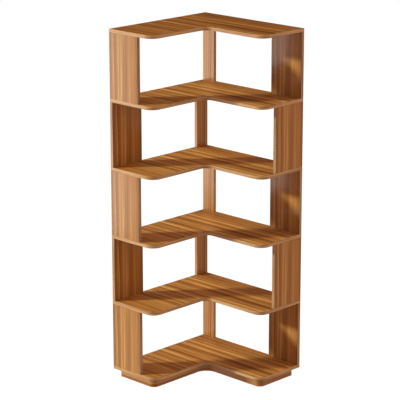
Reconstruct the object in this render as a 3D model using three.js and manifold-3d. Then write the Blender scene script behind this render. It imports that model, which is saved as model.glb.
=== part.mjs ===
// A tall corner shelf unit for two walls that meet at a right angle.
// Six L-shaped boards are stacked five tiers high over a recessed plinth. Each tier stands on three upright panels:
// one at the free end of each arm and a narrow one in the corner. The panels of a tier all face the same way,
// and they turn by a right angle from one tier to the next.
// Frame: millimetres, +Z up, origin on the floor under the centre of the square plan.
// The wall corner is at -X +Y: the right arm runs along +X at the back wall, the left arm along -Y at the left wall.
import * as THREE from "three";
import { mergeVertices } from "three/addons/utils/BufferGeometryUtils.js";
import Module from "manifold-3d";

const wasm = await Module();
wasm.setup();

// Overall sizes
const HEIGHT = 1700; // from the floor to the top of the top board
const ARM_LENGTH = 630; // along each wall, from the corner to the free end
const ARM_DEPTH = 278; // from the wall to the front of the board
const TIER_COUNT = 5;
const BOARD = 16; // thickness of every board and panel
const NOSE_RADIUS = 50; // rounded front corner at the end of each arm
const NOTCH_RADIUS = 40; // hollow corner where the arms meet
const SEAT_GAP = 0.05; // assembly clearance between two pieces that touch

// Upright panels
const SIDE_PANEL_WIDTH = 186;
const CORNER_PANEL_WIDTH = 74;

// Recessed plinth
const PLINTH_HEIGHT = 54;
const PLINTH_END_SETBACK = 50;
const PLINTH_FRONT_SETBACK = 53;
const PLINTH_NOSE_RADIUS = 30;
const PLINTH_NOTCH_RADIUS = 60;
const PLINTH_BOARD = 16; // thickness of the bent fascia and of the rails

// Wooden dowels
const DOWEL_RADIUS = 4;
const DOWEL_REACH = 11; // how far a dowel stands out of its panel, into the shelf
const DOWEL_HOLE_DEPTH = 12;
const SIDE_DOWEL_MARGIN = 32; // from a side panel's edge to the dowel's axis
const CORNER_DOWEL_MARGIN = 18;
const HOLE_CLEARANCE = 0.3; // on the radius of every dowel, bolt and screw hole

// Cam fitting: an eccentric disc in the panel that draws a bolt in the shelf
const CAM_RADIUS = 7.5;
const CAM_DEPTH = 12.5; // of the pocket
const CAM_RECESS = 0.4; // the cam's face lies this far below the panel's face
const CAM_SETBACK = 24; // from the panel's end to the cam's axis
const CAM_SLOT_WIDTH = 1.6;
const CAM_SLOT_LENGTH = 9;
const CAM_SLOT_DEPTH = 2;
const BOLT_SHANK_RADIUS = 2.5;
const BOLT_BORE_RADIUS = 3.5;
const BOLT_THREAD_RADIUS = 3.2;
const BOLT_THREAD_LENGTH = 10;
const BOLT_HOLE_DEPTH = 11;

// Wall bracket: a folded steel angle under the top shelf
const BRACKET_LEG = 36;
const BRACKET_WIDTH = 18;
const BRACKET_SHEET = 2;
const BRACKET_HOLE_RADIUS = 2.3;
const BRACKET_FIRST_HOLE = 12; // from the wall to the nearer screw
const BRACKET_SECOND_HOLE = 27;
const BRACKET_WALL_HOLE = 22; // from the shelf down to the hole for the wall screw
const BRACKET_PLACE_SHARE = 0.5; // of the arm's length, from the corner
const SCREW_RADIUS = 1.75;
const SCREW_LENGTH = 13;
const SCREW_HEAD_RADIUS = 3.6;
const SCREW_HEAD_HEIGHT = 2.2;
const SCREW_HOLE_DEPTH = 12;

// Facets
const ROUND_SIDES = 8; // dowels, bolts and screws
const CAM_SIDES = 12;
const ARC_STEPS = 10; // per quarter turn of a board's outline
const CUT_OVERRUN = 1; // how far a cutting tool runs past the face that it cuts

const laminate = (colour) => new THREE.MeshStandardMaterial({ color: colour, roughness: 0.45, metalness: 0 });
const shelfLaminate = laminate(0x96602f);
const panelLaminate = laminate(0xb57b4c);
const plinthLaminate = laminate(0x9c6233);
const zincAlloy = new THREE.MeshStandardMaterial({ color: 0xb9bcc0, roughness: 0.35, metalness: 1 });
const zincPlatedSteel = new THREE.MeshStandardMaterial({ color: 0xc4c6ca, roughness: 0.3, metalness: 1 });

// Solids and geometries
function solidOf(geometry) {
  const bare = geometry.clone();
  bare.deleteAttribute("normal");
  bare.deleteAttribute("uv");
  const merged = mergeVertices(bare, 1e-4);
  return new wasm.Manifold(
    new wasm.Mesh({
      numProp: 3,
      vertProperties: new Float32Array(merged.attributes.position.array),
      triVerts: new Uint32Array(merged.index.array),
    }),
  );
}

function geometryOf(solid) {
  const mesh = solid.getMesh();
  const geometry = new THREE.BufferGeometry();
  geometry.setAttribute("position", new THREE.BufferAttribute(new Float32Array(mesh.vertProperties), 3));
  geometry.setIndex(new THREE.BufferAttribute(new Uint32Array(mesh.triVerts), 1));
  geometry.computeVertexNormals();
  return geometry;
}

function extruded(shape, height) {
  return new THREE.ExtrudeGeometry(shape, { depth: height, bevelEnabled: false, curveSegments: ARC_STEPS });
}

// An upright prism of regular section, with the centre of its foot at x, y, z.
function peg(radius, length, sides, x, y, z) {
  const section = new THREE.Shape();
  for (let i = 0; i < sides; i++) {
    const turn = (2 * Math.PI * (i + 0.5)) / sides;
    section[i ? "lineTo" : "moveTo"](radius * Math.cos(turn), radius * Math.sin(turn));
  }
  section.closePath();
  return solidOf(extruded(section, length).translate(x, y, z));
}

function block(sizeX, sizeY, sizeZ, x, y, z) {
  return solidOf(new THREE.BoxGeometry(sizeX, sizeY, sizeZ).translate(x + sizeX / 2, y + sizeY / 2, z + sizeZ / 2));
}

// An L outline in the corner's own frame: the wall corner is at 0, 0, the right arm runs along +x, the left along -y.
function cornerOutline(length, depth, noseRadius, notchRadius) {
  const outline = new THREE.Shape();
  outline.moveTo(0, 0);
  outline.lineTo(0, -length);
  outline.absarc(depth - noseRadius, -length + noseRadius, noseRadius, -Math.PI / 2, 0, false);
  outline.absarc(depth + notchRadius, -depth - notchRadius, notchRadius, Math.PI, Math.PI / 2, true);
  outline.absarc(length - noseRadius, -depth + noseRadius, noseRadius, -Math.PI / 2, 0, false);
  outline.lineTo(length, 0);
  outline.closePath();
  return outline;
}

// Levels: the boards are numbered from 1 at the bottom, and tier 1 stands on board 1.
const TOP_SHELF = TIER_COUNT + 1;
const TIER_PITCH = (HEIGHT - PLINTH_HEIGHT - BOARD) / TIER_COUNT;
const PANEL_HEIGHT = TIER_PITCH - BOARD - 2 * SEAT_GAP;
const undersideOfShelf = (number) => PLINTH_HEIGHT + (number - 1) * TIER_PITCH;
const topOfShelf = (number) => undersideOfShelf(number) + BOARD;

// Panels: each is drawn with its width along x, its height along z and its cams on the face y = BOARD,
// then turned by its tier's angle about z and moved to x, y in the corner's frame.
// So the cams face inwards on the panels at the arms' ends and face the wall on the others.
const sidePanel = { width: SIDE_PANEL_WIDTH, dowelMargin: SIDE_DOWEL_MARGIN };
const cornerPanel = { width: CORNER_PANEL_WIDTH, dowelMargin: CORNER_DOWEL_MARGIN };

const panelsFacingBackWall = [
  { name: "left_end_panel", panel: sidePanel, x: 0, y: -ARM_LENGTH },
  { name: "corner_panel", panel: cornerPanel, x: 0, y: -BOARD },
  { name: "right_back_panel", panel: sidePanel, x: ARM_LENGTH - SIDE_PANEL_WIDTH, y: -BOARD },
];
const panelsFacingLeftWall = [
  { name: "left_back_panel", panel: sidePanel, x: BOARD, y: -ARM_LENGTH },
  { name: "corner_panel", panel: cornerPanel, x: BOARD, y: -CORNER_PANEL_WIDTH },
  { name: "right_end_panel", panel: sidePanel, x: ARM_LENGTH, y: -SIDE_PANEL_WIDTH },
];
const facesBackWall = (tier) => tier % 2 === 1;
const placesOfTier = (tier) => (facesBackWall(tier) ? panelsFacingBackWall : panelsFacingLeftWall);
const angleOfTier = (tier) => (facesBackWall(tier) ? 0 : Math.PI / 2);

const dowelPlaces = (panel) => [panel.dowelMargin, panel.width - panel.dowelMargin];

function turned(x, y, angle) {
  return new THREE.Vector2(x, y).rotateAround(new THREE.Vector2(), angle);
}

// A point of a placed panel, at a distance along its width and through its thickness, in the corner's frame.
function onPanel(place, tier, along, through) {
  const offset = turned(along, through, angleOfTier(tier));
  return { x: place.x + offset.x, y: place.y + offset.y };
}

// The board with its dowels glued in, a cam pocket near each end and a bolt bore in each end.
function panelSolid(panel) {
  const middle = panel.width / 2;
  let solid = block(panel.width, BOARD, PANEL_HEIGHT, 0, 0, 0);
  const dowelLength = PANEL_HEIGHT + 2 * DOWEL_REACH;
  for (const along of dowelPlaces(panel)) {
    solid = solid.add(peg(DOWEL_RADIUS, dowelLength, ROUND_SIDES, along, BOARD / 2, -DOWEL_REACH));
  }
  for (const level of [CAM_SETBACK, PANEL_HEIGHT - CAM_SETBACK]) {
    const pocket = discAcrossPanel(CAM_RADIUS + HOLE_CLEARANCE, BOARD - CAM_DEPTH, BOARD + CUT_OVERRUN);
    solid = solid.subtract(pocket.translate([middle, 0, level]));
  }
  const boreLength = CAM_SETBACK + CUT_OVERRUN;
  for (const level of [-CUT_OVERRUN, PANEL_HEIGHT - CAM_SETBACK]) {
    solid = solid.subtract(peg(BOLT_BORE_RADIUS, boreLength, ROUND_SIDES, middle, BOARD / 2, level));
  }
  return solid;
}

// A disc whose axis is along y, between two depths in the panel's thickness.
function discAcrossPanel(radius, fromY, toY) {
  return peg(radius, toY - fromY, CAM_SIDES, 0, 0, 0).rotate([-90, 0, 0]).translate([0, fromY, 0]);
}

// A cam with its bolt, as tightened: the disc lies across the panel, and the bolt leaves it downwards
// and ends in the shelf below. The upper fitting of a panel is the same piece upside down.
function camFittingSolid() {
  const face = BOARD - CAM_RECESS;
  const disc = discAcrossPanel(CAM_RADIUS, BOARD - CAM_DEPTH + HOLE_CLEARANCE, face);
  const slotFloor = face - CAM_SLOT_DEPTH;
  const slotDepth = CAM_SLOT_DEPTH + CUT_OVERRUN;
  const halfLength = CAM_SLOT_LENGTH / 2;
  const halfWidth = CAM_SLOT_WIDTH / 2;
  const flatSlot = block(CAM_SLOT_LENGTH, slotDepth, CAM_SLOT_WIDTH, -halfLength, slotFloor, -halfWidth);
  const uprightSlot = block(CAM_SLOT_WIDTH, slotDepth, CAM_SLOT_LENGTH, -halfWidth, slotFloor, -halfLength);
  const shankLength = CAM_SETBACK + SEAT_GAP;
  const shank = peg(BOLT_SHANK_RADIUS, shankLength, ROUND_SIDES, 0, BOARD / 2, -shankLength);
  const threadEnd = -shankLength - BOLT_THREAD_LENGTH;
  const thread = peg(BOLT_THREAD_RADIUS, BOLT_THREAD_LENGTH, ROUND_SIDES, 0, BOARD / 2, threadEnd);
  return disc.subtract(flatSlot).subtract(uprightSlot).add(shank).add(thread);
}

// Wall brackets, one under the top shelf at each wall. Each is drawn with its corner on the x axis,
// its wall leg in the plane y = 0 and its shelf leg in the plane z = 0.
const BRACKET_DISTANCE = ARM_LENGTH * BRACKET_PLACE_SHARE;
const bracketPlaces = [
  { name: "wall_bracket_right", x: BRACKET_DISTANCE, y: 0, angle: 0 },
  { name: "wall_bracket_left", x: 0, y: -BRACKET_DISTANCE, angle: Math.PI / 2 },
];
const bracketHoles = [BRACKET_FIRST_HOLE, BRACKET_SECOND_HOLE];

function onBracket(place, fromWall) {
  const offset = turned(0, -fromWall, place.angle);
  return { x: place.x + offset.x, y: place.y + offset.y };
}

function bracketSolid() {
  const half = BRACKET_WIDTH / 2;
  const shelfLeg = block(BRACKET_WIDTH, BRACKET_LEG, BRACKET_SHEET, -half, -BRACKET_LEG, -BRACKET_SHEET);
  const wallLeg = block(BRACKET_WIDTH, BRACKET_SHEET, BRACKET_LEG, -half, -BRACKET_SHEET, -BRACKET_LEG);
  let solid = shelfLeg.add(wallLeg);
  const drillLength = BRACKET_SHEET + 2 * CUT_OVERRUN;
  for (const fromWall of bracketHoles) {
    const level = -BRACKET_SHEET - CUT_OVERRUN;
    solid = solid.subtract(peg(BRACKET_HOLE_RADIUS, drillLength, ROUND_SIDES, 0, -fromWall, level));
  }
  const wallDrill = peg(BRACKET_HOLE_RADIUS, drillLength, ROUND_SIDES, 0, 0, 0).rotate([90, 0, 0]);
  return solid.subtract(wallDrill.translate([0, CUT_OVERRUN, -BRACKET_WALL_HOLE]));
}

// A pan-head screw that points up, with the seat of its head at z = 0.
function screwSolid() {
  const head = peg(SCREW_HEAD_RADIUS, SCREW_HEAD_HEIGHT, ROUND_SIDES, 0, 0, -SCREW_HEAD_HEIGHT);
  return head.add(peg(SCREW_RADIUS, SCREW_LENGTH, ROUND_SIDES, 0, 0, 0));
}

// Plinth: a bent fascia along the ends and the front, and a rail along each wall.
const PLINTH_LENGTH = ARM_LENGTH - PLINTH_END_SETBACK;
const PLINTH_DEPTH = ARM_DEPTH - PLINTH_FRONT_SETBACK;
const PLINTH_PIECE_HEIGHT = PLINTH_HEIGHT - SEAT_GAP;
const FASCIA_CENTRE = PLINTH_DEPTH - PLINTH_BOARD / 2;
const RAIL_CENTRE = PLINTH_BOARD / 2;
const PLINTH_DOWEL_SHARE = 0.7; // of the plinth's length, from the corner
const PLINTH_END_DOWEL_SHARE = 0.4; // of the plinth's depth, from the wall

const alongPlinth = PLINTH_LENGTH * PLINTH_DOWEL_SHARE;
const acrossPlinthEnd = PLINTH_DEPTH * PLINTH_END_DOWEL_SHARE;
const endOfPlinth = PLINTH_LENGTH - PLINTH_BOARD / 2;
const fasciaDowels = [
  { x: acrossPlinthEnd, y: -endOfPlinth },
  { x: FASCIA_CENTRE, y: -alongPlinth },
  { x: alongPlinth, y: -FASCIA_CENTRE },
  { x: endOfPlinth, y: -acrossPlinthEnd },
];
const leftRailDowels = [PLINTH_DEPTH, alongPlinth].map((along) => ({ x: RAIL_CENTRE, y: -along }));
const rightRailDowels = [PLINTH_DEPTH, alongPlinth].map((along) => ({ x: along, y: -RAIL_CENTRE }));
const plinthDowels = [...fasciaDowels, ...leftRailDowels, ...rightRailDowels];

function withDowels(solid, places) {
  const length = PLINTH_BOARD + DOWEL_REACH;
  const level = PLINTH_PIECE_HEIGHT - PLINTH_BOARD;
  return places.reduce((made, p) => made.add(peg(DOWEL_RADIUS, length, ROUND_SIDES, p.x, p.y, level)), solid);
}

function fasciaSolid() {
  const outer = PLINTH_LENGTH;
  const front = PLINTH_DEPTH;
  const inner = outer - PLINTH_BOARD;
  const back = front - PLINTH_BOARD;
  const noseInside = PLINTH_NOSE_RADIUS - PLINTH_BOARD;
  const notchInside = PLINTH_NOTCH_RADIUS + PLINTH_BOARD;
  const nose = PLINTH_NOSE_RADIUS;
  const notch = PLINTH_NOTCH_RADIUS;
  const quarter = Math.PI / 2;
  const band = new THREE.Shape();
  band.moveTo(0, -outer);
  band.absarc(front - nose, -outer + nose, nose, -quarter, 0, false);
  band.absarc(front + notch, -front - notch, notch, Math.PI, quarter, true);
  band.absarc(outer - nose, -front + nose, nose, -quarter, 0, false);
  band.lineTo(outer, 0);
  band.lineTo(inner, 0);
  band.absarc(inner - noseInside, -back + noseInside, noseInside, 0, -quarter, true);
  band.absarc(back + notchInside, -back - notchInside, notchInside, quarter, Math.PI, false);
  band.absarc(back - noseInside, -inner + noseInside, noseInside, 0, -quarter, true);
  band.lineTo(0, -inner);
  band.closePath();
  return withDowels(solidOf(extruded(band, PLINTH_PIECE_HEIGHT)), fasciaDowels);
}

function leftRailSolid() {
  const length = PLINTH_LENGTH - PLINTH_BOARD - SEAT_GAP;
  return withDowels(block(PLINTH_BOARD, length, PLINTH_PIECE_HEIGHT, 0, -length, 0), leftRailDowels);
}

function rightRailSolid() {
  const start = PLINTH_BOARD + SEAT_GAP;
  const length = PLINTH_LENGTH - PLINTH_BOARD - SEAT_GAP - start;
  return withDowels(block(length, PLINTH_BOARD, PLINTH_PIECE_HEIGHT, start, -PLINTH_BOARD, 0), rightRailDowels);
}

// Shelves: the plain L board, then the blind holes for what stands on it and what it stands on.
function shelfSolid(number) {
  let solid = solidOf(extruded(cornerOutline(ARM_LENGTH, ARM_DEPTH, NOSE_RADIUS, NOTCH_RADIUS), BOARD));
  const drill = (radius, depth, at, fromTop) => {
    const level = fromTop ? BOARD - depth : -CUT_OVERRUN;
    solid = solid.subtract(peg(radius, depth + CUT_OVERRUN, ROUND_SIDES, at.x, at.y, level));
  };
  const drillForTier = (tier, fromTop) => {
    for (const place of placesOfTier(tier)) {
      for (const along of dowelPlaces(place.panel)) {
        const at = onPanel(place, tier, along, BOARD / 2);
        drill(DOWEL_RADIUS + HOLE_CLEARANCE, DOWEL_HOLE_DEPTH, at, fromTop);
      }
      const middle = onPanel(place, tier, place.panel.width / 2, BOARD / 2);
      drill(BOLT_THREAD_RADIUS + HOLE_CLEARANCE, BOLT_HOLE_DEPTH, middle, fromTop);
    }
  };
  if (number > 1) drillForTier(number - 1, false);
  if (number < TOP_SHELF) drillForTier(number, true);
  if (number === 1) {
    for (const at of plinthDowels) drill(DOWEL_RADIUS + HOLE_CLEARANCE, DOWEL_HOLE_DEPTH, at, false);
  }
  if (number === TOP_SHELF) {
    for (const place of bracketPlaces) {
      for (const fromWall of bracketHoles) {
        drill(SCREW_RADIUS + HOLE_CLEARANCE, SCREW_HOLE_DEPTH, onBracket(place, fromWall), false);
      }
    }
  }
  return solid;
}

// Assembly, in the corner's frame
const corner = new THREE.Group();
corner.position.set(-ARM_LENGTH / 2, ARM_LENGTH / 2, 0);

function add(name, geometry, material, x = 0, y = 0, z = 0, angle = 0) {
  const mesh = new THREE.Mesh(geometry, material);
  mesh.name = name;
  mesh.position.set(x, y, z);
  mesh.rotation.z = angle;
  corner.add(mesh);
  return mesh;
}

add("plinth_fascia", geometryOf(fasciaSolid()), plinthLaminate);
add("plinth_rail_left", geometryOf(leftRailSolid()), plinthLaminate);
add("plinth_rail_right", geometryOf(rightRailSolid()), plinthLaminate);

for (let number = 1; number <= TOP_SHELF; number++) {
  const geometry = geometryOf(shelfSolid(number));
  add(`shelf_${number}`, geometry, shelfLaminate, 0, 0, undersideOfShelf(number));
}

const panelGeometries = new Map([sidePanel, cornerPanel].map((panel) => [panel, geometryOf(panelSolid(panel))]));
const lowerCamGeometry = geometryOf(camFittingSolid());
const upperCamGeometry = geometryOf(camFittingSolid().mirror([0, 0, 1]));

for (let tier = 1; tier <= TIER_COUNT; tier++) {
  const angle = angleOfTier(tier);
  const level = topOfShelf(tier) + SEAT_GAP;
  const lowerCam = level + CAM_SETBACK;
  const upperCam = level + PANEL_HEIGHT - CAM_SETBACK;
  for (const place of placesOfTier(tier)) {
    const name = `tier_${tier}_${place.name}`;
    add(name, panelGeometries.get(place.panel), panelLaminate, place.x, place.y, level, angle);
    const at = onPanel(place, tier, place.panel.width / 2, 0);
    add(`${name}_cam_lower`, lowerCamGeometry, zincAlloy, at.x, at.y, lowerCam, angle);
    add(`${name}_cam_upper`, upperCamGeometry, zincAlloy, at.x, at.y, upperCam, angle);
  }
}

const bracketGeometry = geometryOf(bracketSolid());
const screwGeometry = geometryOf(screwSolid());
const bracketLevel = undersideOfShelf(TOP_SHELF) - SEAT_GAP;
for (const place of bracketPlaces) {
  add(place.name, bracketGeometry, zincPlatedSteel, place.x, place.y, bracketLevel, place.angle);
  bracketHoles.forEach((fromWall, i) => {
    const at = onBracket(place, fromWall);
    const seat = bracketLevel - BRACKET_SHEET - SEAT_GAP;
    add(`${place.name}_screw_${i + 1}`, screwGeometry, zincPlatedSteel, at.x, at.y, seat);
  });
}

const shelfUnit = new THREE.Group();
shelfUnit.name = "corner_shelf_unit";
shelfUnit.add(corner);
export default shelfUnit;
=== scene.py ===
import math

import bmesh
import bpy
from mathutils import Matrix, Vector


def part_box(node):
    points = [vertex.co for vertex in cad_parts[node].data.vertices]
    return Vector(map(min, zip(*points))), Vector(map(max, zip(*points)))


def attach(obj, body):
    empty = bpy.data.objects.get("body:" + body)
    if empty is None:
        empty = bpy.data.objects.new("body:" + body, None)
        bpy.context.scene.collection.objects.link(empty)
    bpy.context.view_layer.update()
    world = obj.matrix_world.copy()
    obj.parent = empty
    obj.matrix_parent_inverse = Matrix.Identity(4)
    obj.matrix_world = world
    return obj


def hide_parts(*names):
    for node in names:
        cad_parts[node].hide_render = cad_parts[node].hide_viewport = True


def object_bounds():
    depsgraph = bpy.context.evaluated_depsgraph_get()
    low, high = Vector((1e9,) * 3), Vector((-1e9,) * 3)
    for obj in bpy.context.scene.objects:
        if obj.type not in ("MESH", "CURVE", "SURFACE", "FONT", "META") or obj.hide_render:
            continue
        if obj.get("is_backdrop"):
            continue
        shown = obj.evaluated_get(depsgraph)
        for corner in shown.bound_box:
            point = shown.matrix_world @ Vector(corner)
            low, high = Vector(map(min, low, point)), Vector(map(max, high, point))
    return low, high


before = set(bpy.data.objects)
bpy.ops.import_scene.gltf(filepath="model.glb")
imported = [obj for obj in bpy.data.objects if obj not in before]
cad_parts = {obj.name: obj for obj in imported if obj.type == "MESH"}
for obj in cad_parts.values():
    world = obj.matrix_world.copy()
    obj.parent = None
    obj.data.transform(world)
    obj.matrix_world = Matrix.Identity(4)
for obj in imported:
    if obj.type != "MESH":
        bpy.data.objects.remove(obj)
cad_low, cad_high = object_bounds()

# Plinth
# A strip of laminated board bent round the two arm ends and the hollow between them, with a straight rail
# of the same board along each wall behind it. It is set back under the bottom board, so that toes fit, and
# is dowelled and glued to it. Its printed wood grain runs level.
PLINTH_LENGTH = 0.580
PLINTH_DEPTH = 0.225
PLINTH_BOARD = 0.016
PLINTH_NOSE_RADIUS = 0.030
PLINTH_NOTCH_RADIUS = 0.060
PLINTH_GLUE_LINE = 0.00005
ARC_STEPS = 20
left_wall = cad_low.x
back_wall = cad_high.y


class Value:
    """An output of a finish's nodes. Arithmetic on it adds Math nodes."""

    def __init__(self, finish, socket):
        self.finish = finish
        self.socket = socket

    def math(self, operation, first, second):
        return self.finish.node("Math", {"operation": operation}, {0: first, 1: second})

    def __add__(self, other):
        return self.math("ADD", self, other)

    def __sub__(self, other):
        return self.math("SUBTRACT", self, other)

    def __rsub__(self, other):
        return self.math("SUBTRACT", other, self)

    def __mul__(self, other):
        return self.math("MULTIPLY", self, other)

    __radd__ = __add__
    __rmul__ = __mul__


class Finish:
    """A node tree in the making: a material's, or the world's."""

    def __init__(self, owner):
        owner.use_nodes = True
        self.owner = owner
        self.tree = owner.node_tree
        self.tree.nodes.clear()

    def node(self, kind, settings=None, sockets=None, output=0):
        """Adds a node with its settings, feeds its sockets numbers or Values, and returns one output."""
        made = self.tree.nodes.new("ShaderNode" + kind)
        for name, setting in (settings or {}).items():
            if name == "stops":
                ramp = made.color_ramp.elements
                while len(ramp) < len(setting):
                    ramp.new(1.0)
                for stop, (position, colour) in zip(ramp, setting):
                    stop.position = position
                    stop.color = colour
            else:
                setattr(made, name, setting)
        for name, value in (sockets or {}).items():
            if isinstance(value, Value):
                self.tree.links.new(value.socket, made.inputs[name])
            else:
                made.inputs[name].default_value = value
        return Value(self, made.outputs[output])

    def close(self, shader, kind="OutputMaterial"):
        """Ends the tree with its output and returns the material or world."""
        end = self.tree.nodes.new("ShaderNode" + kind)
        self.tree.links.new(shader.socket, end.inputs["Surface"])
        return self.owner


def parts(finish, vector, axes):
    """The parts of a vector along the named axes."""
    return [finish.node("SeparateXYZ", sockets={"Vector": vector}, output=axis) for axis in axes]


def place_in_wood(finish):
    """How far along the grain a point lies, and how far across it."""
    return parts(finish, finish.node("UVMap", {"uv_map": "grain"}), "XY")


NOISE_ROUGHNESS = 0.55


def drawn_out(finish, along, across, layer, depth=0.0):
    """A layer's noise, between 0 and 1. Each printed sheet takes it from its own depth."""
    x = along * (1 / layer["length"])
    y = across * (1 / layer["width"])
    place = finish.node("CombineXYZ", sockets={"X": x, "Y": y, "Z": depth + layer["seed"]})
    sockets = {"Vector": place, "Scale": 1.0, "Detail": layer["detail"], "Roughness": NOISE_ROUGHNESS}
    return finish.node("TexNoise", sockets=sockets)


def stepped(finish, value, low, high):
    """0 up to low and 1 from high on, with a soft step between them."""
    settings = {"interpolation_type": "SMOOTHSTEP"}
    return finish.node("MapRange", settings, {"Value": value, "From Min": low, "From Max": high})


def streaky(finish, along, across, layer, depth=0.0):
    """A layer's streaks, from 0 beside them to 1 in them."""
    return stepped(finish, drawn_out(finish, along, across, layer, depth), layer["low"], layer["high"])


def shaded(colour, shade):
    """A colour tinted by a shade, with full alpha."""
    return tuple(channel * part for channel, part in zip(colour, shade)) + (1.0,)


WALNUT_DARK = (0.180, 0.054, 0.0080)
WALNUT_MIDDLE = (0.500, 0.195, 0.0360)
WALNUT_LIGHT = (0.860, 0.460, 0.1300)

# Each layer of the print is noise drawn out into streaks about length long and width wide. A streak begins
# where the noise reaches low, and is full where it reaches high. WANDER bends the grain sideways, and the
# fibres and lines stand out most in the LINED_PARTS.
WANDER = {"length": 0.300, "width": 0.060, "detail": 1.0, "seed": 3.1}
STRIPS = {"length": 2.400, "width": 0.030, "detail": 1.0, "seed": 7.7, "low": 0.34, "high": 0.66}
STREAKS = {"length": 0.700, "width": 0.0100, "detail": 3.0, "seed": 1.3, "low": 0.28, "high": 0.72}
LINED_PARTS = {"length": 2.000, "width": 0.045, "detail": 1.0, "seed": 4.4, "low": 0.40, "high": 0.60}
FIBRES = {"length": 0.300, "width": 0.0026, "detail": 2.0, "seed": 5.9, "low": 0.32, "high": 0.68}
PORES = {"length": 0.030, "width": 0.0007, "detail": 1.0, "seed": 9.2, "low": 0.60, "high": 0.78}
LINES = {"length": 1.400, "width": 0.0050, "detail": 2.0, "seed": 6.6, "low": 0.36, "high": 0.64}
SHEET_SPACING = 10
WANDER_REACH = 0.008

# The tone where no layer moves it, and how far each layer does.
MIDDLE_TONE = 0.51
STRIP_TONE = 0.42
STREAK_TONE = 0.44
FIBRE_TONE = 0.16
LINED_FIBRE_TONE = 0.24
LINE_TONE = 0.22
LINED_LINE_TONE = 0.32
PORE_TONE = 0.05

# The relief and the gloss of the lacquered print.
GRAIN_HEIGHT = 0.00012
GRAIN_BUMP = 0.25
FIBRE_HEIGHT = 0.3
PORE_DULLNESS = 0.12
FIBRE_DULLNESS = 0.03
LACQUER_SPECULAR = 0.35


def walnut_tone(finish, sheet, contrast):
    """The print's tone, from 0 in dark heartwood to 1 in pale sapwood, and its fibres and open pores by
    themselves. sheet is the number of the printed sheet, each with its own strips."""
    depth = sheet * SHEET_SPACING
    along, level = place_in_wood(finish)
    across = level + (drawn_out(finish, along, level, WANDER, depth) - 0.5) * WANDER_REACH
    strips, streaks, lined, fibres, pores, lines = [
        streaky(finish, along, across, layer, depth)
        for layer in (STRIPS, STREAKS, LINED_PARTS, FIBRES, PORES, LINES)
    ]
    broad = (strips - 0.5) * STRIP_TONE + (streaks - 0.5) * STREAK_TONE
    fine = (fibres - 0.5) * (FIBRE_TONE + lined * LINED_FIBRE_TONE) - pores * PORE_TONE
    fine += (lines - 0.5) * (LINE_TONE + lined * LINED_LINE_TONE)
    return MIDDLE_TONE + broad * contrast + fine, fibres, pores


def walnut(name, shade, sheet, contrast, roughness):
    """Printed walnut under satin lacquer: strips of light and dark heartwood with fine pores along them."""
    finish = Finish(bpy.data.materials.new(name))
    tone, fibres, pores = walnut_tone(finish, sheet, contrast)
    stops = [
        (0.0, shaded(WALNUT_DARK, shade)),
        (0.5, shaded(WALNUT_MIDDLE, shade)),
        (1.0, shaded(WALNUT_LIGHT, shade)),
    ]
    colour = finish.node("ValToRGB", {"stops": stops}, {"Fac": tone})
    height = fibres * FIBRE_HEIGHT - pores
    sockets = {"Strength": GRAIN_BUMP, "Distance": GRAIN_HEIGHT, "Height": height}
    normal = finish.node("Bump", sockets=sockets)
    sockets = {
        "Base Color": colour,
        "Roughness": roughness + pores * PORE_DULLNESS + fibres * FIBRE_DULLNESS,
        "Normal": normal,
        "Specular IOR Level": LACQUER_SPECULAR,
    }
    return finish.close(finish.node("BsdfPrincipled", sockets=sockets))


# The plinth's walnut is tinted darker and duller than the boards', though the print is the same: painted
# shade for its place under the overhanging bottom board.
PLINTH_PAINTED_SHADE = (0.52, 0.48, 0.52)
PLINTH_SHEET = 3
FASCIA_SHEET_START = (0.3, 0.11)
RAIL_SHEET_START = (0.0, 0.0)
PLINTH_CONTRAST = 0.8
PLINTH_ROUGHNESS = 0.36

plinth_walnut = walnut("plinth_walnut", PLINTH_PAINTED_SHADE, PLINTH_SHEET, PLINTH_CONTRAST, PLINTH_ROUGHNESS)


class Shell:
    """A closed mesh in the making. Each face knows its place in the wood: along the grain, then across."""

    def __init__(self):
        self.mesh = bmesh.new()
        self.grain = self.mesh.loops.layers.uv.new("grain")
        self.finish = 0

    def ring(self, points, level, place=Matrix()):
        """The vertices of a loop of points, drawn at a level and carried to their place in the unit."""
        return [self.mesh.verts.new(place @ Vector((x, y, level))) for x, y in points]

    def face(self, corners, places):
        made = self.mesh.faces.new(corners)
        made.material_index = self.finish
        for loop, place in zip(made.loops, places):
            loop[self.grain].uv = place

    def walls(self, low_ring, high_ring, low, high, level_grain):
        """Faces between two rings of vertices, which were drawn at the levels low and high. Their grain
        runs round the rings if level_grain is true, and from ring to ring if not."""
        run = 0.0
        for i in range(len(low_ring)):
            j = (i + 1) % len(low_ring)
            step = (low_ring[j].co - low_ring[i].co).length
            corners = [low_ring[i], low_ring[j], high_ring[j], high_ring[i]]
            places = [(run, low), (run + step, low), (run + step, high), (run, high)]
            if not level_grain:
                places = [(across, along) for along, across in places]
            self.face(corners, places)
            run += step

    def cap(self, rings, along_first):
        """A flat face inside the first ring, with a hole inside each of the others. Each ring comes with
        its drawn points. The grain runs along their x if along_first is true, and along their y if not."""
        edges = []
        for ring, _ in rings:
            for a, b in zip(ring, ring[1:] + ring[:1]):
                edges.append(self.mesh.edges.get((a, b)) or self.mesh.edges.new((a, b)))
        filled = bmesh.ops.triangle_fill(self.mesh, edges=edges, use_beauty=True)
        point_of = {vertex: point for ring, points in rings for vertex, point in zip(ring, points)}
        for made in filled["geom"]:
            if isinstance(made, bmesh.types.BMFace):
                made.material_index = self.finish
                for corner in made.loops:
                    x, y = point_of[corner.vert]
                    corner[self.grain].uv = (x, y) if along_first else (y, x)


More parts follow.
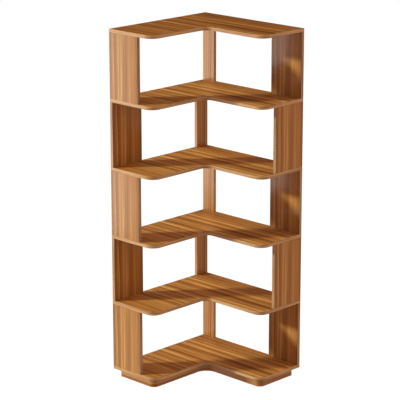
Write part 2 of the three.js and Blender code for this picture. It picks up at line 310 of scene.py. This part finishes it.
def solid(shell, outline, low, high, pockets=(), grain="x", place=Matrix()):
    """Extrudes an outline from low to high. Each pocket is a loop of points with its floor's level: one
    above low is sunk from the top face, one at low goes through. grain is its direction in the drawing: x,
    y, or z from low to high. place carries the drawing to its place in the unit."""
    bottom = shell.ring(outline, low, place)
    top = shell.ring(outline, high, place)
    shell.walls(bottom, top, low, high, grain != "z")
    bottom_rings = [(bottom, outline)]
    top_rings = [(top, outline)]
    for points, floor in pockets:
        mouth = shell.ring(points, high, place)
        foot = shell.ring(points, floor, place)
        shell.walls(mouth, foot, high, floor, grain != "z")
        top_rings.append((mouth, points))
        if floor > low:
            shell.cap([(foot, points)], grain != "y")
        else:
            bottom_rings.append((foot, points))
    shell.cap(bottom_rings, grain != "y")
    shell.cap(top_rings, grain != "y")


def rectangle(low_x, low_y, high_x, high_y):
    return [(low_x, low_y), (high_x, low_y), (high_x, high_y), (low_x, high_y)]


def arc(x, y, radius, start, end):
    """Points round (x, y) from one angle to another, in degrees."""
    turns = [math.radians(start + (end - start) * i / ARC_STEPS) for i in range(ARC_STEPS + 1)]
    return [(x + radius * math.cos(turn), y + radius * math.sin(turn)) for turn in turns]


def front_line(length, depth, nose, notch, inset, gap):
    """The line round an L's free sides, from the left arm's end at the left wall to the right arm's end at
    the back wall, drawn in by inset. It starts and ends a gap away from the walls."""
    x, y = left_wall, back_wall
    return [
        (x + gap, y - length + inset),
        *arc(x + depth - nose, y - length + nose, nose - inset, -90, 0),
        *arc(x + depth + notch, y - depth - notch, notch + inset, 180, 90),
        *arc(x + length - nose, y - depth + nose, nose - inset, -90, 0),
        (x + length - inset, y - gap),
    ]


def plinth_line(inset):
    return front_line(PLINTH_LENGTH, PLINTH_DEPTH, PLINTH_NOSE_RADIUS, PLINTH_NOTCH_RADIUS, inset, 0.0)


def finished_piece(name, shell, finishes, nodes, start=(0.0, 0.0)):
    """Turns a shell into an object that rides on the unit and stands for the CAD nodes. start is where the
    piece is cut from the printed sheet or the roll of band: along its grain, then across."""
    bmesh.ops.recalc_face_normals(shell.mesh, faces=shell.mesh.faces)
    for face in shell.mesh.faces:
        for loop in face.loops:
            loop[shell.grain].uv += Vector(start)
    mesh = bpy.data.meshes.new(name)
    shell.mesh.to_mesh(mesh)
    shell.mesh.free()
    for finish in finishes:
        mesh.materials.append(finish)
    piece = bpy.data.objects.new(name, mesh)
    bpy.context.scene.collection.objects.link(piece)
    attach(piece, "root")
    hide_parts(*nodes)


fascia = plinth_line(0.0) + plinth_line(PLINTH_BOARD)[::-1]
rail_end = PLINTH_LENGTH - PLINTH_BOARD
rail_left = rectangle(left_wall, back_wall - rail_end, left_wall + PLINTH_BOARD, back_wall)
rail_right = rectangle(left_wall + PLINTH_BOARD, back_wall - PLINTH_BOARD, left_wall + rail_end, back_wall)
plinth_pieces = [
    ("plinth_fascia", fascia, FASCIA_SHEET_START),
    ("plinth_rail_left", rail_left, RAIL_SHEET_START),
    ("plinth_rail_right", rail_right, RAIL_SHEET_START),
]
plinth_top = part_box("shelf_1")[0].z - PLINTH_GLUE_LINE
for node, outline, start in plinth_pieces:
    board = Shell()
    solid(board, outline, 0.0, plinth_top)
    finished_piece(f"{node}_board", board, [plinth_walnut], [node], start)

# Shelf boards
# Six L-shaped boards of 16 mm particle board, faced on both sides with the printed walnut, whose grain runs
# along the right arm. Every side is closed with a glued strip of paler edge band, rounded at both arrises.
ARM_LENGTH = 0.630
ARM_DEPTH = 0.278
BOARD = 0.016
NOSE_RADIUS = 0.050
NOTCH_RADIUS = 0.040
EDGE_BAND = 0.002
ARRIS_RADIUS = 0.0015
ARRIS_STEPS = 5
SHELF_COUNT = 6
SHELF_SHADE = (1.03, 1.02, 1.00)
# The top board's walnut is tinted darker and redder than the other boards', though its print is the same:
# painted shade for the weaker light on the top board.
TOP_SHELF_PAINTED_SHADE = (0.72, 0.61, 0.53)
SHELF_SHEET = 407
SHELF_SHEET_START = (0.325, 0.554)
SHELF_CONTRAST = 0.90
SHELF_ROUGHNESS = 0.44

BAND_DARK = (0.300, 0.130, 0.0480)
BAND_LIGHT = (0.640, 0.380, 0.1900)
EDGE_BAND_SHADE = (0.90, 0.88, 0.78)
EDGE_BAND_SPACING = 0.05
BAND_STRIPS = {"length": 0.240, "width": 0.0080, "detail": 2.0, "seed": 2.2, "low": 0.30, "high": 0.66}
BAND_FIBRES = {"length": 0.050, "width": 0.0009, "detail": 2.0, "seed": 6.4, "low": 0.30, "high": 0.70}
BAND_STRIP_TONE = 0.6
BAND_FIBRE_TONE = 0.4
BAND_HEIGHT = 0.00008
BAND_BUMP = 0.2
BAND_ROUGHNESS = 0.38
BAND_FIBRE_DULLNESS = 0.12


def paler_band(name, shade):
    """The edge band: a thin strip of paler wood print, with short fine streaks along it."""
    finish = Finish(bpy.data.materials.new(name))
    along, across = place_in_wood(finish)
    strips = streaky(finish, along, across, BAND_STRIPS)
    relief = drawn_out(finish, along, across, BAND_FIBRES)
    fibres = stepped(finish, relief, BAND_FIBRES["low"], BAND_FIBRES["high"])
    tone = strips * BAND_STRIP_TONE + fibres * BAND_FIBRE_TONE
    stops = [(0.0, shaded(BAND_DARK, shade)), (1.0, shaded(BAND_LIGHT, shade))]
    colour = finish.node("ValToRGB", {"stops": stops}, {"Fac": tone})
    sockets = {"Strength": BAND_BUMP, "Distance": BAND_HEIGHT, "Height": relief}
    normal = finish.node("Bump", sockets=sockets)
    gloss = BAND_ROUGHNESS + relief * BAND_FIBRE_DULLNESS
    sockets = {"Base Color": colour, "Roughness": gloss, "Normal": normal}
    return finish.close(finish.node("BsdfPrincipled", sockets=sockets))


shelf_walnut = walnut("shelf_walnut", SHELF_SHADE, SHELF_SHEET, SHELF_CONTRAST, SHELF_ROUGHNESS)
top_walnut_painted_shade = walnut("top_shelf_walnut_painted_shade", TOP_SHELF_PAINTED_SHADE, SHELF_SHEET, SHELF_CONTRAST, SHELF_ROUGHNESS)
edge_band = paler_band("edge_band", EDGE_BAND_SHADE)


def board_outline(inset):
    wall_corner = (left_wall + inset, back_wall - inset)
    return [wall_corner] + front_line(ARM_LENGTH, ARM_DEPTH, NOSE_RADIUS, NOTCH_RADIUS, inset, inset)


def band_section(height, band, radius):
    """An edge band's section as (inset, level) points: flat on the core, rounded at both outer arrises."""
    upper = []
    for step in range(ARRIS_STEPS + 1):
        turn = math.pi / 2 * step / ARRIS_STEPS
        upper.append((radius - radius * math.sin(turn), height - radius + radius * math.cos(turn)))
    lower = [(inset, height - level) for inset, level in reversed(upper)]
    return [(band, height), *upper, *lower, (band, 0.0)]


def banding(underside):
    """The band all round a board, with its grain along the board's edge."""
    shell = Shell()
    rows = []
    for inset, height in band_section(BOARD, EDGE_BAND, ARRIS_RADIUS):
        rows.append(shell.ring(board_outline(inset), underside + height))
    count = len(rows[0])

    # The band's length is measured along one of the rows on its rounded arris.
    arris = rows[2]
    runs = [0.0]
    for i in range(count):
        runs.append(runs[-1] + (arris[(i + 1) % count].co - arris[i].co).length)
    low = 0.0
    for row, next_row in zip(rows, rows[1:] + rows[:1]):
        high = low + (next_row[0].co - row[0].co).length
        for i in range(count):
            j = (i + 1) % count
            corners = [row[i], row[j], next_row[j], next_row[i]]
            places = [(runs[i], low), (runs[i + 1], low), (runs[i + 1], high), (runs[i], high)]
            shell.face(corners, places)
        low = high
    return shell


for number in range(1, SHELF_COUNT + 1):
    node = f"shelf_{number}"
    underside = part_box(node)[0].z
    core = Shell()
    solid(core, board_outline(EDGE_BAND), underside, underside + BOARD)
    # The top board takes the darker copy of the walnut, a painted shade.
    face_walnut = top_walnut_painted_shade if number == SHELF_COUNT else shelf_walnut
    finished_piece(f"{node}_board", core, [face_walnut], [node], SHELF_SHEET_START)
    start = (0.0, EDGE_BAND_SPACING * number)
    finished_piece(f"{node}_edge_band", banding(underside), [edge_band], [node], start)

# Upright panels
# Three to a tier, of the same board with upright grain: a wide one at the end of each arm and a narrow one
# in the corner. Both long edges are banded, and the plain ends butt against the boards on glued dowels. A
# pocket for a cam lies near each end, inside on the end panels and against the wall on the rest.
SIDE_PANEL_WIDTH = 0.186
CORNER_PANEL_WIDTH = 0.074
DOWEL_REACH = 0.011
CAM_SETBACK = 0.024
CAM_POCKET_RADIUS = 0.0078
CAM_POCKET_DEPTH = 0.0125
ROUND_SIDES = 24
PANEL_BAND = 0.001
PANEL_ARRIS = 0.0008
TIER_COUNT = SHELF_COUNT - 1
# The panels' walnut is tinted darker and a little bluer than the boards', though the print is the same:
# painted shade that balances the light on the upright faces against the boards' tops, and painted sheen in
# its extra blue.
PANEL_PAINTED_SHADE = (0.71, 0.72, 0.83)
PANEL_SHEET = 418
PANEL_SHEET_MIDDLE = 0.15
SIDE_PANEL_SHEET_START = 0.390
# The corner panels are cut where the print runs darker than on the end panels: painted shade for the corner
# between the arms.
CORNER_PANEL_SHEET_START = 0.520
PANEL_CONTRAST = 0.48
PANEL_ROUGHNESS = 0.16
# The panels' edge band is the boards' band tinted darker: painted shade on the panels' upright edges.
PANEL_BAND_PAINTED_SHADE = (0.68, 0.67, 0.66)
PANEL_BAND_SPACING = 0.3

# The panels take the darker, bluer copy of the walnut: painted shade and sheen.
panel_walnut = walnut("panel_walnut", PANEL_PAINTED_SHADE, PANEL_SHEET, PANEL_CONTRAST, PANEL_ROUGHNESS)
panel_edge_band = paler_band("panel_edge_band", PANEL_BAND_PAINTED_SHADE)

# Stands a drawing up: its second part becomes height, and its level becomes depth through the board.
stood_up = Matrix(((1, 0, 0, 0), (0, 0, 1, 0), (0, 1, 0, 0), (0, 0, 0, 1)))


def panels_of_tier(tier):
    """Each panel's node, its width, the levels of its two ends, and the place that its drawing goes to. The
    panels of every second tier are turned by a right angle."""
    if tier % 2 == 1:
        turn = 0
        corners = [
            ("left_end_panel", SIDE_PANEL_WIDTH, 0.0, -ARM_LENGTH),
            ("corner_panel", CORNER_PANEL_WIDTH, 0.0, -BOARD),
            ("right_back_panel", SIDE_PANEL_WIDTH, ARM_LENGTH - SIDE_PANEL_WIDTH, -BOARD),
        ]
    else:
        turn = 90
        corners = [
            ("left_back_panel", SIDE_PANEL_WIDTH, BOARD, -ARM_LENGTH),
            ("corner_panel", CORNER_PANEL_WIDTH, BOARD, -CORNER_PANEL_WIDTH),
            ("right_end_panel", SIDE_PANEL_WIDTH, ARM_LENGTH, -SIDE_PANEL_WIDTH),
        ]
    panels = []
    for name, width, x, y in corners:
        node = f"tier_{tier}_{name}"
        low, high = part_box(node)
        place = Matrix.Translation((left_wall + x, back_wall + y, 0.0))
        place @= Matrix.Rotation(math.radians(turn), 4, "Z")
        panels.append((node, width, low.z + DOWEL_REACH, high.z - DOWEL_REACH, place))
    return panels


def circle(x, y, radius):
    turns = [2 * math.pi * i / ROUND_SIDES for i in range(ROUND_SIDES)]
    return [(x + radius * math.cos(turn), y + radius * math.sin(turn)) for turn in turns]


for tier in range(1, TIER_COUNT + 1):
    for node, width, foot, head, place in panels_of_tier(tier):
        pockets = [
            (circle(width / 2, level, CAM_POCKET_RADIUS), BOARD - CAM_POCKET_DEPTH)
            for level in (foot + CAM_SETBACK, head - CAM_SETBACK)
        ]
        core = Shell()
        outline = rectangle(PANEL_BAND, foot, width - PANEL_BAND, head)
        solid(core, outline, 0.0, BOARD, pockets, "y", place @ stood_up)
        # The corner panels' darker part of the print is a painted shade.
        across = CORNER_PANEL_SHEET_START if width == CORNER_PANEL_WIDTH else SIDE_PANEL_SHEET_START
        start = (PANEL_SHEET_MIDDLE - (foot + head) / 2, across)
        finished_piece(f"{node}_board", core, [panel_walnut], [node], start)

        bands = Shell()
        section = band_section(BOARD, PANEL_BAND, PANEL_ARRIS)
        for edge, inward in ((0.0, 1), (width, -1)):
            outline = [(edge + inward * inset, through) for inset, through in section]
            solid(bands, outline, foot, head, grain="z", place=place)
        start = (0.0, PANEL_BAND_SPACING * tier)
        finished_piece(f"{node}_edge_bands", bands, [panel_edge_band], [node], start)

# Cam fittings
# The hardware that draws each panel's ends tight against the boards: a die-cast zinc drum in the panel's
# pocket, turned with a cross-head driver, pulls on a steel bolt that is screwed into the board.
CAM_RADIUS = 0.0075
CAM_RECESS = 0.0004
CAM_CHAMFER = 0.0005
CAM_FLOOR_GAP = 0.0003
CAM_CROSS_LENGTH = 0.009
CAM_CROSS_WIDTH = 0.0016
CAM_CROSS_DEPTH = 0.002
CAST_GRAIN = 0.0015
CAST_DULL = (0.36, 0.36, 0.35)
CAST_BRIGHT = (0.56, 0.56, 0.54)
CAST_ROUGHNESS = 0.38

BOLT_START = 0.007
BOLT_SHANK_RADIUS = 0.0025
BOLT_TIP_RADIUS = 0.00125
BOLT_THREAD_RADIUS = 0.0032
BOLT_THREAD_LENGTH = 0.010
BOLT_PITCH = 0.002
BOLT_GRAIN = 0.0008
BOLT_DULL = (0.50, 0.49, 0.46)
BOLT_BRIGHT = (0.70, 0.69, 0.66)
BOLT_ROUGHNESS = 0.24

# Where a thread's root and its crest lie, as parts of a pitch.
PITCH_ROOT = 0.1
PITCH_CREST_START = 0.45
PITCH_CREST_END = 0.55

MOTTLE_DETAIL = 3.0
MOTTLE_LOW = 0.3
MOTTLE_HIGH = 0.7
MOTTLE_BUMP = 0.3
MOTTLE_HEIGHT_SHARE = 0.05
MOTTLE_DULLNESS = 0.15


def metal(name, dull, bright, roughness, grain):
    """Metal whose colour, gloss and surface vary a little, in spots about as large as grain."""
    finish = Finish(bpy.data.materials.new(name))
    place = finish.node("TexCoord", output="Object")
    mottle = finish.node("TexNoise", sockets={"Vector": place, "Scale": 1 / grain, "Detail": MOTTLE_DETAIL})
    stops = [(MOTTLE_LOW, (*dull, 1.0)), (MOTTLE_HIGH, (*bright, 1.0))]
    colour = finish.node("ValToRGB", {"stops": stops}, {"Fac": mottle})
    sockets = {"Strength": MOTTLE_BUMP, "Distance": grain * MOTTLE_HEIGHT_SHARE, "Height": mottle}
    normal = finish.node("Bump", sockets=sockets)
    gloss = roughness + mottle * MOTTLE_DULLNESS
    sockets = {"Base Color": colour, "Metallic": 1.0, "Roughness": gloss, "Normal": normal}
    return finish.close(finish.node("BsdfPrincipled", sockets=sockets))


cast_zinc = metal("cast_zinc", CAST_DULL, CAST_BRIGHT, CAST_ROUGHNESS, CAST_GRAIN)
bolt_steel = metal("bolt_steel", BOLT_DULL, BOLT_BRIGHT, BOLT_ROUGHNESS, BOLT_GRAIN)


def cross(length, width):
    """The outline of a cross-shaped recess for a driver."""
    far, near = length / 2, width / 2
    arm = [(far, -near), (far, near), (near, near)]
    outline = []
    for _ in range(4):
        outline += arm
        arm = [(-y, x) for x, y in arm]
    return outline


def turned(shell, profile, place, recess=None):
    """Revolves a profile of (radius, level) points. recess is an outline sunk into the first end, with the
    level of its floor."""
    levels = [level for _, level in profile]
    rounds = [circle(0.0, 0.0, radius) for radius, _ in profile]
    rings = [shell.ring(points, level, place) for points, level in zip(rounds, levels)]
    for i in range(len(rings) - 1):
        shell.walls(rings[i], rings[i + 1], levels[i], levels[i + 1], False)
    first_end = [(rings[0], rounds[0])]
    if recess:
        outline, floor = recess
        mouth = shell.ring(outline, levels[0], place)
        foot = shell.ring(outline, floor, place)
        shell.walls(mouth, foot, levels[0], floor, False)
        shell.cap([(foot, outline)], True)
        first_end.append((mouth, outline))
    shell.cap(first_end, True)
    shell.cap([(rings[-1], rounds[-1])], True)


def thread(start, length, pitch, core, crest):
    """The profile of a thread, as a row of crests."""
    points = []
    for turn in range(round(length / pitch)):
        foot = start + turn * pitch
        points.append((core, foot + PITCH_ROOT * pitch))
        points.append((crest, foot + PITCH_CREST_START * pitch))
        points.append((crest, foot + PITCH_CREST_END * pitch))
    return points


cam_face = BOARD - CAM_RECESS
cam_floor = BOARD - CAM_POCKET_DEPTH + CAM_FLOOR_GAP
cam_profile = [
    (CAM_RADIUS - CAM_CHAMFER, cam_face),
    (CAM_RADIUS, cam_face - CAM_CHAMFER),
    (CAM_RADIUS, cam_floor + CAM_CHAMFER),
    (CAM_RADIUS - CAM_CHAMFER, cam_floor),
]
cam_recess = (cross(CAM_CROSS_LENGTH, CAM_CROSS_WIDTH), cam_face - CAM_CROSS_DEPTH)
bolt_profile = [
    (BOLT_SHANK_RADIUS, BOLT_START),
    (BOLT_SHANK_RADIUS, CAM_SETBACK),
    *thread(CAM_SETBACK, BOLT_THREAD_LENGTH, BOLT_PITCH, BOLT_SHANK_RADIUS, BOLT_THREAD_RADIUS),
    (BOLT_TIP_RADIUS, CAM_SETBACK + BOLT_THREAD_LENGTH),
]

for tier in range(1, TIER_COUNT + 1):
    for panel, width, foot, head, place in panels_of_tier(tier):
        for end, level, outward in (("lower", foot + CAM_SETBACK, -1), ("upper", head - CAM_SETBACK, 1)):
            in_pocket = place @ Matrix.Translation((width / 2, 0.0, level)) @ stood_up
            along_bolt = place @ Matrix.Translation((width / 2, BOARD / 2, level))
            along_bolt @= Matrix.Diagonal((1, 1, outward, 1))
            fitting = Shell()
            turned(fitting, cam_profile, in_pocket, cam_recess)
            fitting.finish = 1
            turned(fitting, bolt_profile, along_bolt)
            node = f"{panel}_cam_{end}"
            finished_piece(f"{node}_fitting", fitting, [cast_zinc, bolt_steel], [node])

# Wall brackets
# Two angles folded from a strip of 2 mm zinc-plated steel, under the top board at the middle of each wall.
# Two screws hold each to the board, and its third hole takes a screw into the wall, so that the unit can't
# tip over.
BRACKET_LEG = 0.036
BRACKET_WIDTH = 0.018
BRACKET_SHEET = 0.002
BRACKET_BEND = 0.003
BRACKET_CORNER = 0.004
BRACKET_HOLE_RADIUS = 0.0023
BRACKET_SCREW_HOLES = (0.012, 0.027)
BRACKET_WALL_HOLE = 0.022
BEND_STEPS = 8
PLATE_GRAIN = 0.004
PLATE_DULL = (0.46, 0.47, 0.48)
PLATE_BRIGHT = (0.66, 0.67, 0.68)
PLATE_ROUGHNESS = 0.30

plated_steel = metal("zinc_plated_steel", PLATE_DULL, PLATE_BRIGHT, PLATE_ROUGHNESS, PLATE_GRAIN)

flat_leg = BRACKET_LEG - BRACKET_BEND
bend_length = (BRACKET_BEND - BRACKET_SHEET / 2) * math.pi / 2
blank_length = 2 * flat_leg + bend_length


def rounded_strip(length, width, radius):
    """The outline of a strip with rounded corners, centred on the x axis and starting at x = 0."""
    half = width / 2
    return [
        *arc(radius, radius - half, radius, 180, 270),
        *arc(length - radius, radius - half, radius, 270, 360),
        *arc(length - radius, half - radius, radius, 0, 90),
        *arc(radius, half - radius, radius, 90, 180),
    ]


def folded(run, across, depth):
    """Where a point of the flat blank comes to lie: under the board, round the bend or on the wall."""
    if run <= flat_leg:
        return Vector((across, run - BRACKET_LEG, -depth))
    turn = min((run - flat_leg) / bend_length, 1.0) * math.pi / 2
    reach = BRACKET_BEND - depth
    y = reach * math.sin(turn) - BRACKET_BEND
    z = reach * math.cos(turn) - BRACKET_BEND
    return Vector((across, y, z - max(run - flat_leg - bend_length, 0.0)))


hole_places = [BRACKET_LEG - distance for distance in BRACKET_SCREW_HOLES]
hole_places.append(blank_length - BRACKET_LEG + BRACKET_WALL_HOLE)
bracket_blank = rounded_strip(blank_length, BRACKET_WIDTH, BRACKET_CORNER)
bracket_holes = [(circle(run, 0.0, BRACKET_HOLE_RADIUS), 0.0) for run in hole_places]

for side, turn, x, y in (("right", 0, 0.0, back_wall), ("left", 90, left_wall, 0.0)):
    node = f"wall_bracket_{side}"
    bracket = Shell()
    solid(bracket, bracket_blank, 0.0, BRACKET_SHEET, bracket_holes)
    for step in range(BEND_STEPS + 1):
        crease = Vector((flat_leg + bend_length * step / BEND_STEPS, 0.0, 0.0))
        whole = bracket.mesh.verts[:] + bracket.mesh.edges[:] + bracket.mesh.faces[:]
        bmesh.ops.bisect_plane(bracket.mesh, geom=whole, plane_co=crease, plane_no=Vector((1.0, 0.0, 0.0)))
    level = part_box(node)[1].z
    place = Matrix.Translation((x, y, level)) @ Matrix.Rotation(math.radians(turn), 4, "Z")
    for vertex in bracket.mesh.verts:
        vertex.co = place @ folded(*vertex.co)
    finished_piece(f"{node}_angle", bracket, [plated_steel], [node])

# Bracket screws
# Four pan-head wood screws of zinc-plated steel with a cross recess, driven up through the brackets into
# the top board.
SCREW_HEAD_RADIUS = 0.0036
SCREW_FACE_RADIUS = 0.0026
SCREW_HEAD_HEIGHT = 0.0022
SCREW_RIM_HEIGHT = 0.0011
SCREW_RADIUS = 0.00175
SCREW_CORE_RADIUS = 0.0012
SCREW_LENGTH = 0.013
SCREW_PITCH = 0.0013
SCREW_NECK = 0.0026
SCREW_TIP = 0.0013
SCREW_TIP_RADIUS = 0.0002
SCREW_CROSS_LENGTH = 0.0034
SCREW_CROSS_WIDTH = 0.0009
SCREW_CROSS_DEPTH = 0.0014
SCREW_ROUGHNESS = 0.22
HEAD_STEPS = 6

screw_zinc = metal("screw_zinc", BOLT_DULL, BOLT_BRIGHT, SCREW_ROUGHNESS, BOLT_GRAIN)


def head_profile():
    """The rounded pan head from its face to its seat."""
    points = []
    for step in range(HEAD_STEPS + 1):
        turn = math.pi / 2 * step / HEAD_STEPS
        radius = SCREW_FACE_RADIUS + (SCREW_HEAD_RADIUS - SCREW_FACE_RADIUS) * math.sin(turn)
        crown = (SCREW_HEAD_HEIGHT - SCREW_RIM_HEIGHT) * math.cos(turn)
        points.append((radius, -SCREW_RIM_HEIGHT - crown))
    return points + [(SCREW_HEAD_RADIUS, 0.0)]


thread_length = SCREW_LENGTH - SCREW_NECK - SCREW_TIP
screw_profile = [
    *head_profile(),
    (SCREW_RADIUS, 0.0),
    (SCREW_RADIUS, SCREW_NECK),
    *thread(SCREW_NECK, thread_length, SCREW_PITCH, SCREW_CORE_RADIUS, SCREW_RADIUS),
    (SCREW_TIP_RADIUS, SCREW_LENGTH),
]
screw_recess = (cross(SCREW_CROSS_LENGTH, SCREW_CROSS_WIDTH), SCREW_CROSS_DEPTH - SCREW_HEAD_HEIGHT)

for side in ("right", "left"):
    for number in range(1, len(BRACKET_SCREW_HOLES) + 1):
        node = f"wall_bracket_{side}_screw_{number}"
        low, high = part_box(node)
        middle = (low + high) / 2
        screw = Shell()
        place = Matrix.Translation((middle.x, middle.y, low.z + SCREW_HEAD_HEIGHT))
        turned(screw, screw_profile, place, screw_recess)
        finished_piece(f"{node}_turned", screw, [screw_zinc], [node])

# Camera
# It stands in front of the hollow between the arms and a little above the unit, well back and with a long
# lens. Its place, direction and lens were fitted to the unit's outline in the photograph.
CAMERA_PLACE = (5.7076, -5.8917, 3.1609)
CAMERA_AZIMUTH = 44.109
CAMERA_ELEVATION = 15.23
CAMERA_LENS = 163.93
CAMERA_SENSOR = 36.0
CAMERA_SHIFT = (-0.0152, -0.02)
CAMERA_REACH = 100.0


def aimed(name, data, place, azimuth, elevation):
    """A camera or light that looks at the unit from an azimuth and elevation in degrees. The azimuth is 0
    in front, 90 on the right and -90 on the left."""
    turn = math.radians(azimuth)
    rise = math.radians(elevation)
    way_back = Vector((math.sin(turn) * math.cos(rise), -math.cos(turn) * math.cos(rise), math.sin(rise)))
    made = bpy.data.objects.new(name, data)
    made.location = place
    made.rotation_mode = "QUATERNION"
    made.rotation_quaternion = (-way_back).to_track_quat("-Z", "Y")
    bpy.context.scene.collection.objects.link(made)
    return made


camera_data = bpy.data.cameras.new("camera")
camera_data.lens = CAMERA_LENS
camera_data.sensor_width = CAMERA_SENSOR
camera_data.shift_x, camera_data.shift_y = CAMERA_SHIFT
camera_data.clip_end = CAMERA_REACH
camera = aimed("camera", camera_data, CAMERA_PLACE, CAMERA_AZIMUTH, CAMERA_ELEVATION)
bpy.context.scene.camera = camera

# Sun
# A low soft sun from the left in front, which draws the panels' shadows across the boards. The lacquer
# doesn't mirror it, only the softbox and the room.
SUN_STRENGTH = 3.8
SUN_COLOUR = (0.87, 1.0, 1.0)
SUN_SOFTNESS = math.radians(5)
SUN_AZIMUTH = -38.7
SUN_ELEVATION = 22

sun_data = bpy.data.lights.new("sun", "SUN")
sun_data.energy = SUN_STRENGTH
sun_data.color = SUN_COLOUR
sun_data.angle = SUN_SOFTNESS
sun = aimed("sun", sun_data, (0.0, 0.0, 0.0), SUN_AZIMUTH, SUN_ELEVATION)
sun.visible_glossy = False

# Softbox
# A tall softbox beside the left arm. Only its mirror image shows, as the pale sheen on the faces of the
# upper tiers.
SOFTBOX_WIDTH = 1.11
SOFTBOX_HEIGHT = 1.8
SOFTBOX_FOOT = 0.36
SOFTBOX_X = -1.532
SOFTBOX_Y = -0.826
SOFTBOX_AZIMUTH = -43.78
SOFTBOX_LIGHT = 2.6

softbox_data = bpy.data.lights.new("softbox", "AREA")
softbox_data.shape = "RECTANGLE"
softbox_data.size = SOFTBOX_WIDTH
softbox_data.size_y = SOFTBOX_HEIGHT
softbox_data.energy = SOFTBOX_LIGHT * math.pi * SOFTBOX_WIDTH * SOFTBOX_HEIGHT
softbox_place = (SOFTBOX_X, SOFTBOX_Y, SOFTBOX_FOOT + SOFTBOX_HEIGHT / 2)
softbox = aimed("softbox", softbox_data, softbox_place, SOFTBOX_AZIMUTH, 0)
softbox.visible_camera = False
softbox.visible_diffuse = False

# Light from the room
# Warm light from all sides, strongest from behind, and white as seen behind the unit. The lacquer mirrors
# only two pale parts of the room, neither of them overhead: one in front on the left, one behind on the
# right.
RIGHT_LIGHT = 0.81
LEFT_LIGHT = 0.62
BACK_LIGHT = 0.92
FRONT_LIGHT = 0.26
UPPER_LIGHT = 0.05
LOWER_LIGHT = 0.1
ROOM_COLOUR = (1.0, 0.79, 0.65, 1.0)
WHITE = (1.0, 1.0, 1.0, 1.0)
FRONT_IMAGE_LIGHT = 1.7
BACK_IMAGE_LIGHT = 0.55

# A mirrored part of the room begins and is full where a direction leans so far to it. It is full up to one
# height of the direction, and ends at the other.
IMAGE_EDGE = 0.6
IMAGE_FULL = 0.9
IMAGE_FULL_TOP = 0.3
IMAGE_TOP = 0.7

room = Finish(bpy.data.worlds.new("studio"))
right, back, height = parts(room, room.node("TexCoord", output="Generated"), "XYZ")


def beyond(side):
    """How far a direction leans to one side, and 0 on the other."""
    return side.math("MAXIMUM", side, 0.0)


sides = beyond(right) * RIGHT_LIGHT + beyond(right * -1) * LEFT_LIGHT
ends = beyond(back) * BACK_LIGHT + beyond(back * -1) * FRONT_LIGHT
heights = beyond(height) * UPPER_LIGHT + beyond(height * -1) * LOWER_LIGHT
all_round = sides + ends + heights
to_back_right = (right + back) * math.sqrt(0.5)
front_image = stepped(room, to_back_right * -1, IMAGE_EDGE, IMAGE_FULL) * FRONT_IMAGE_LIGHT
back_image = stepped(room, to_back_right, IMAGE_EDGE, IMAGE_FULL) * BACK_IMAGE_LIGHT
images = (front_image + back_image) * stepped(room, height, IMAGE_TOP, IMAGE_FULL_TOP)
mirrored = room.node("LightPath", output="Is Glossy Ray")
strength = all_round * (1 - mirrored) + images * mirrored
lit = room.node("Background", sockets={"Color": ROOM_COLOUR, "Strength": strength})
backdrop = room.node("Background", sockets={"Color": WHITE, "Strength": 1.0})
seen = room.node("LightPath", output="Is Camera Ray")
room.close(room.node("MixShader", sockets={0: seen, 1: lit, 2: backdrop}), "OutputWorld")
bpy.context.scene.world = room.owner
bpy.context.scene.view_settings.view_transform = "Standard"

# Floor
# A plain pale floor just under the plinth, lit from within so that it stays white up to the unit's foot. It
# neither lights the unit nor shows in its lacquer.
FLOOR_HALF = 6.0
FLOOR_DROP = 0.0002
FLOOR_COLOUR = (0.04, 0.04, 0.04, 1.0)
FLOOR_ROUGHNESS = 0.6
GRIT_SCALE = 60.0
GRIT_DETAIL = 3.0
GRIT_DULLNESS = 0.1

pale_floor = Finish(bpy.data.materials.new("pale_floor"))
grit = pale_floor.node("TexNoise", sockets={"Scale": GRIT_SCALE, "Detail": GRIT_DETAIL})
sockets = {
    "Base Color": FLOOR_COLOUR,
    "Roughness": FLOOR_ROUGHNESS + grit * GRIT_DULLNESS,
    "Emission Color": WHITE,
    "Emission Strength": 1.0,
}
pale_floor.close(pale_floor.node("BsdfPrincipled", sockets=sockets))

floor_corners = [(x, y, 0.0) for x, y in rectangle(-FLOOR_HALF, -FLOOR_HALF, FLOOR_HALF, FLOOR_HALF)]
floor_mesh = bpy.data.meshes.new("floor")
floor_mesh.from_pydata(floor_corners, [], [(0, 1, 2, 3)])
floor_mesh.materials.append(pale_floor.owner)
floor = bpy.data.objects.new("floor", floor_mesh)
floor.location.z = -FLOOR_DROP
floor.visible_diffuse = False
floor.visible_glossy = False
bpy.context.scene.collection.objects.link(floor)
floor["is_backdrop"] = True

low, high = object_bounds()
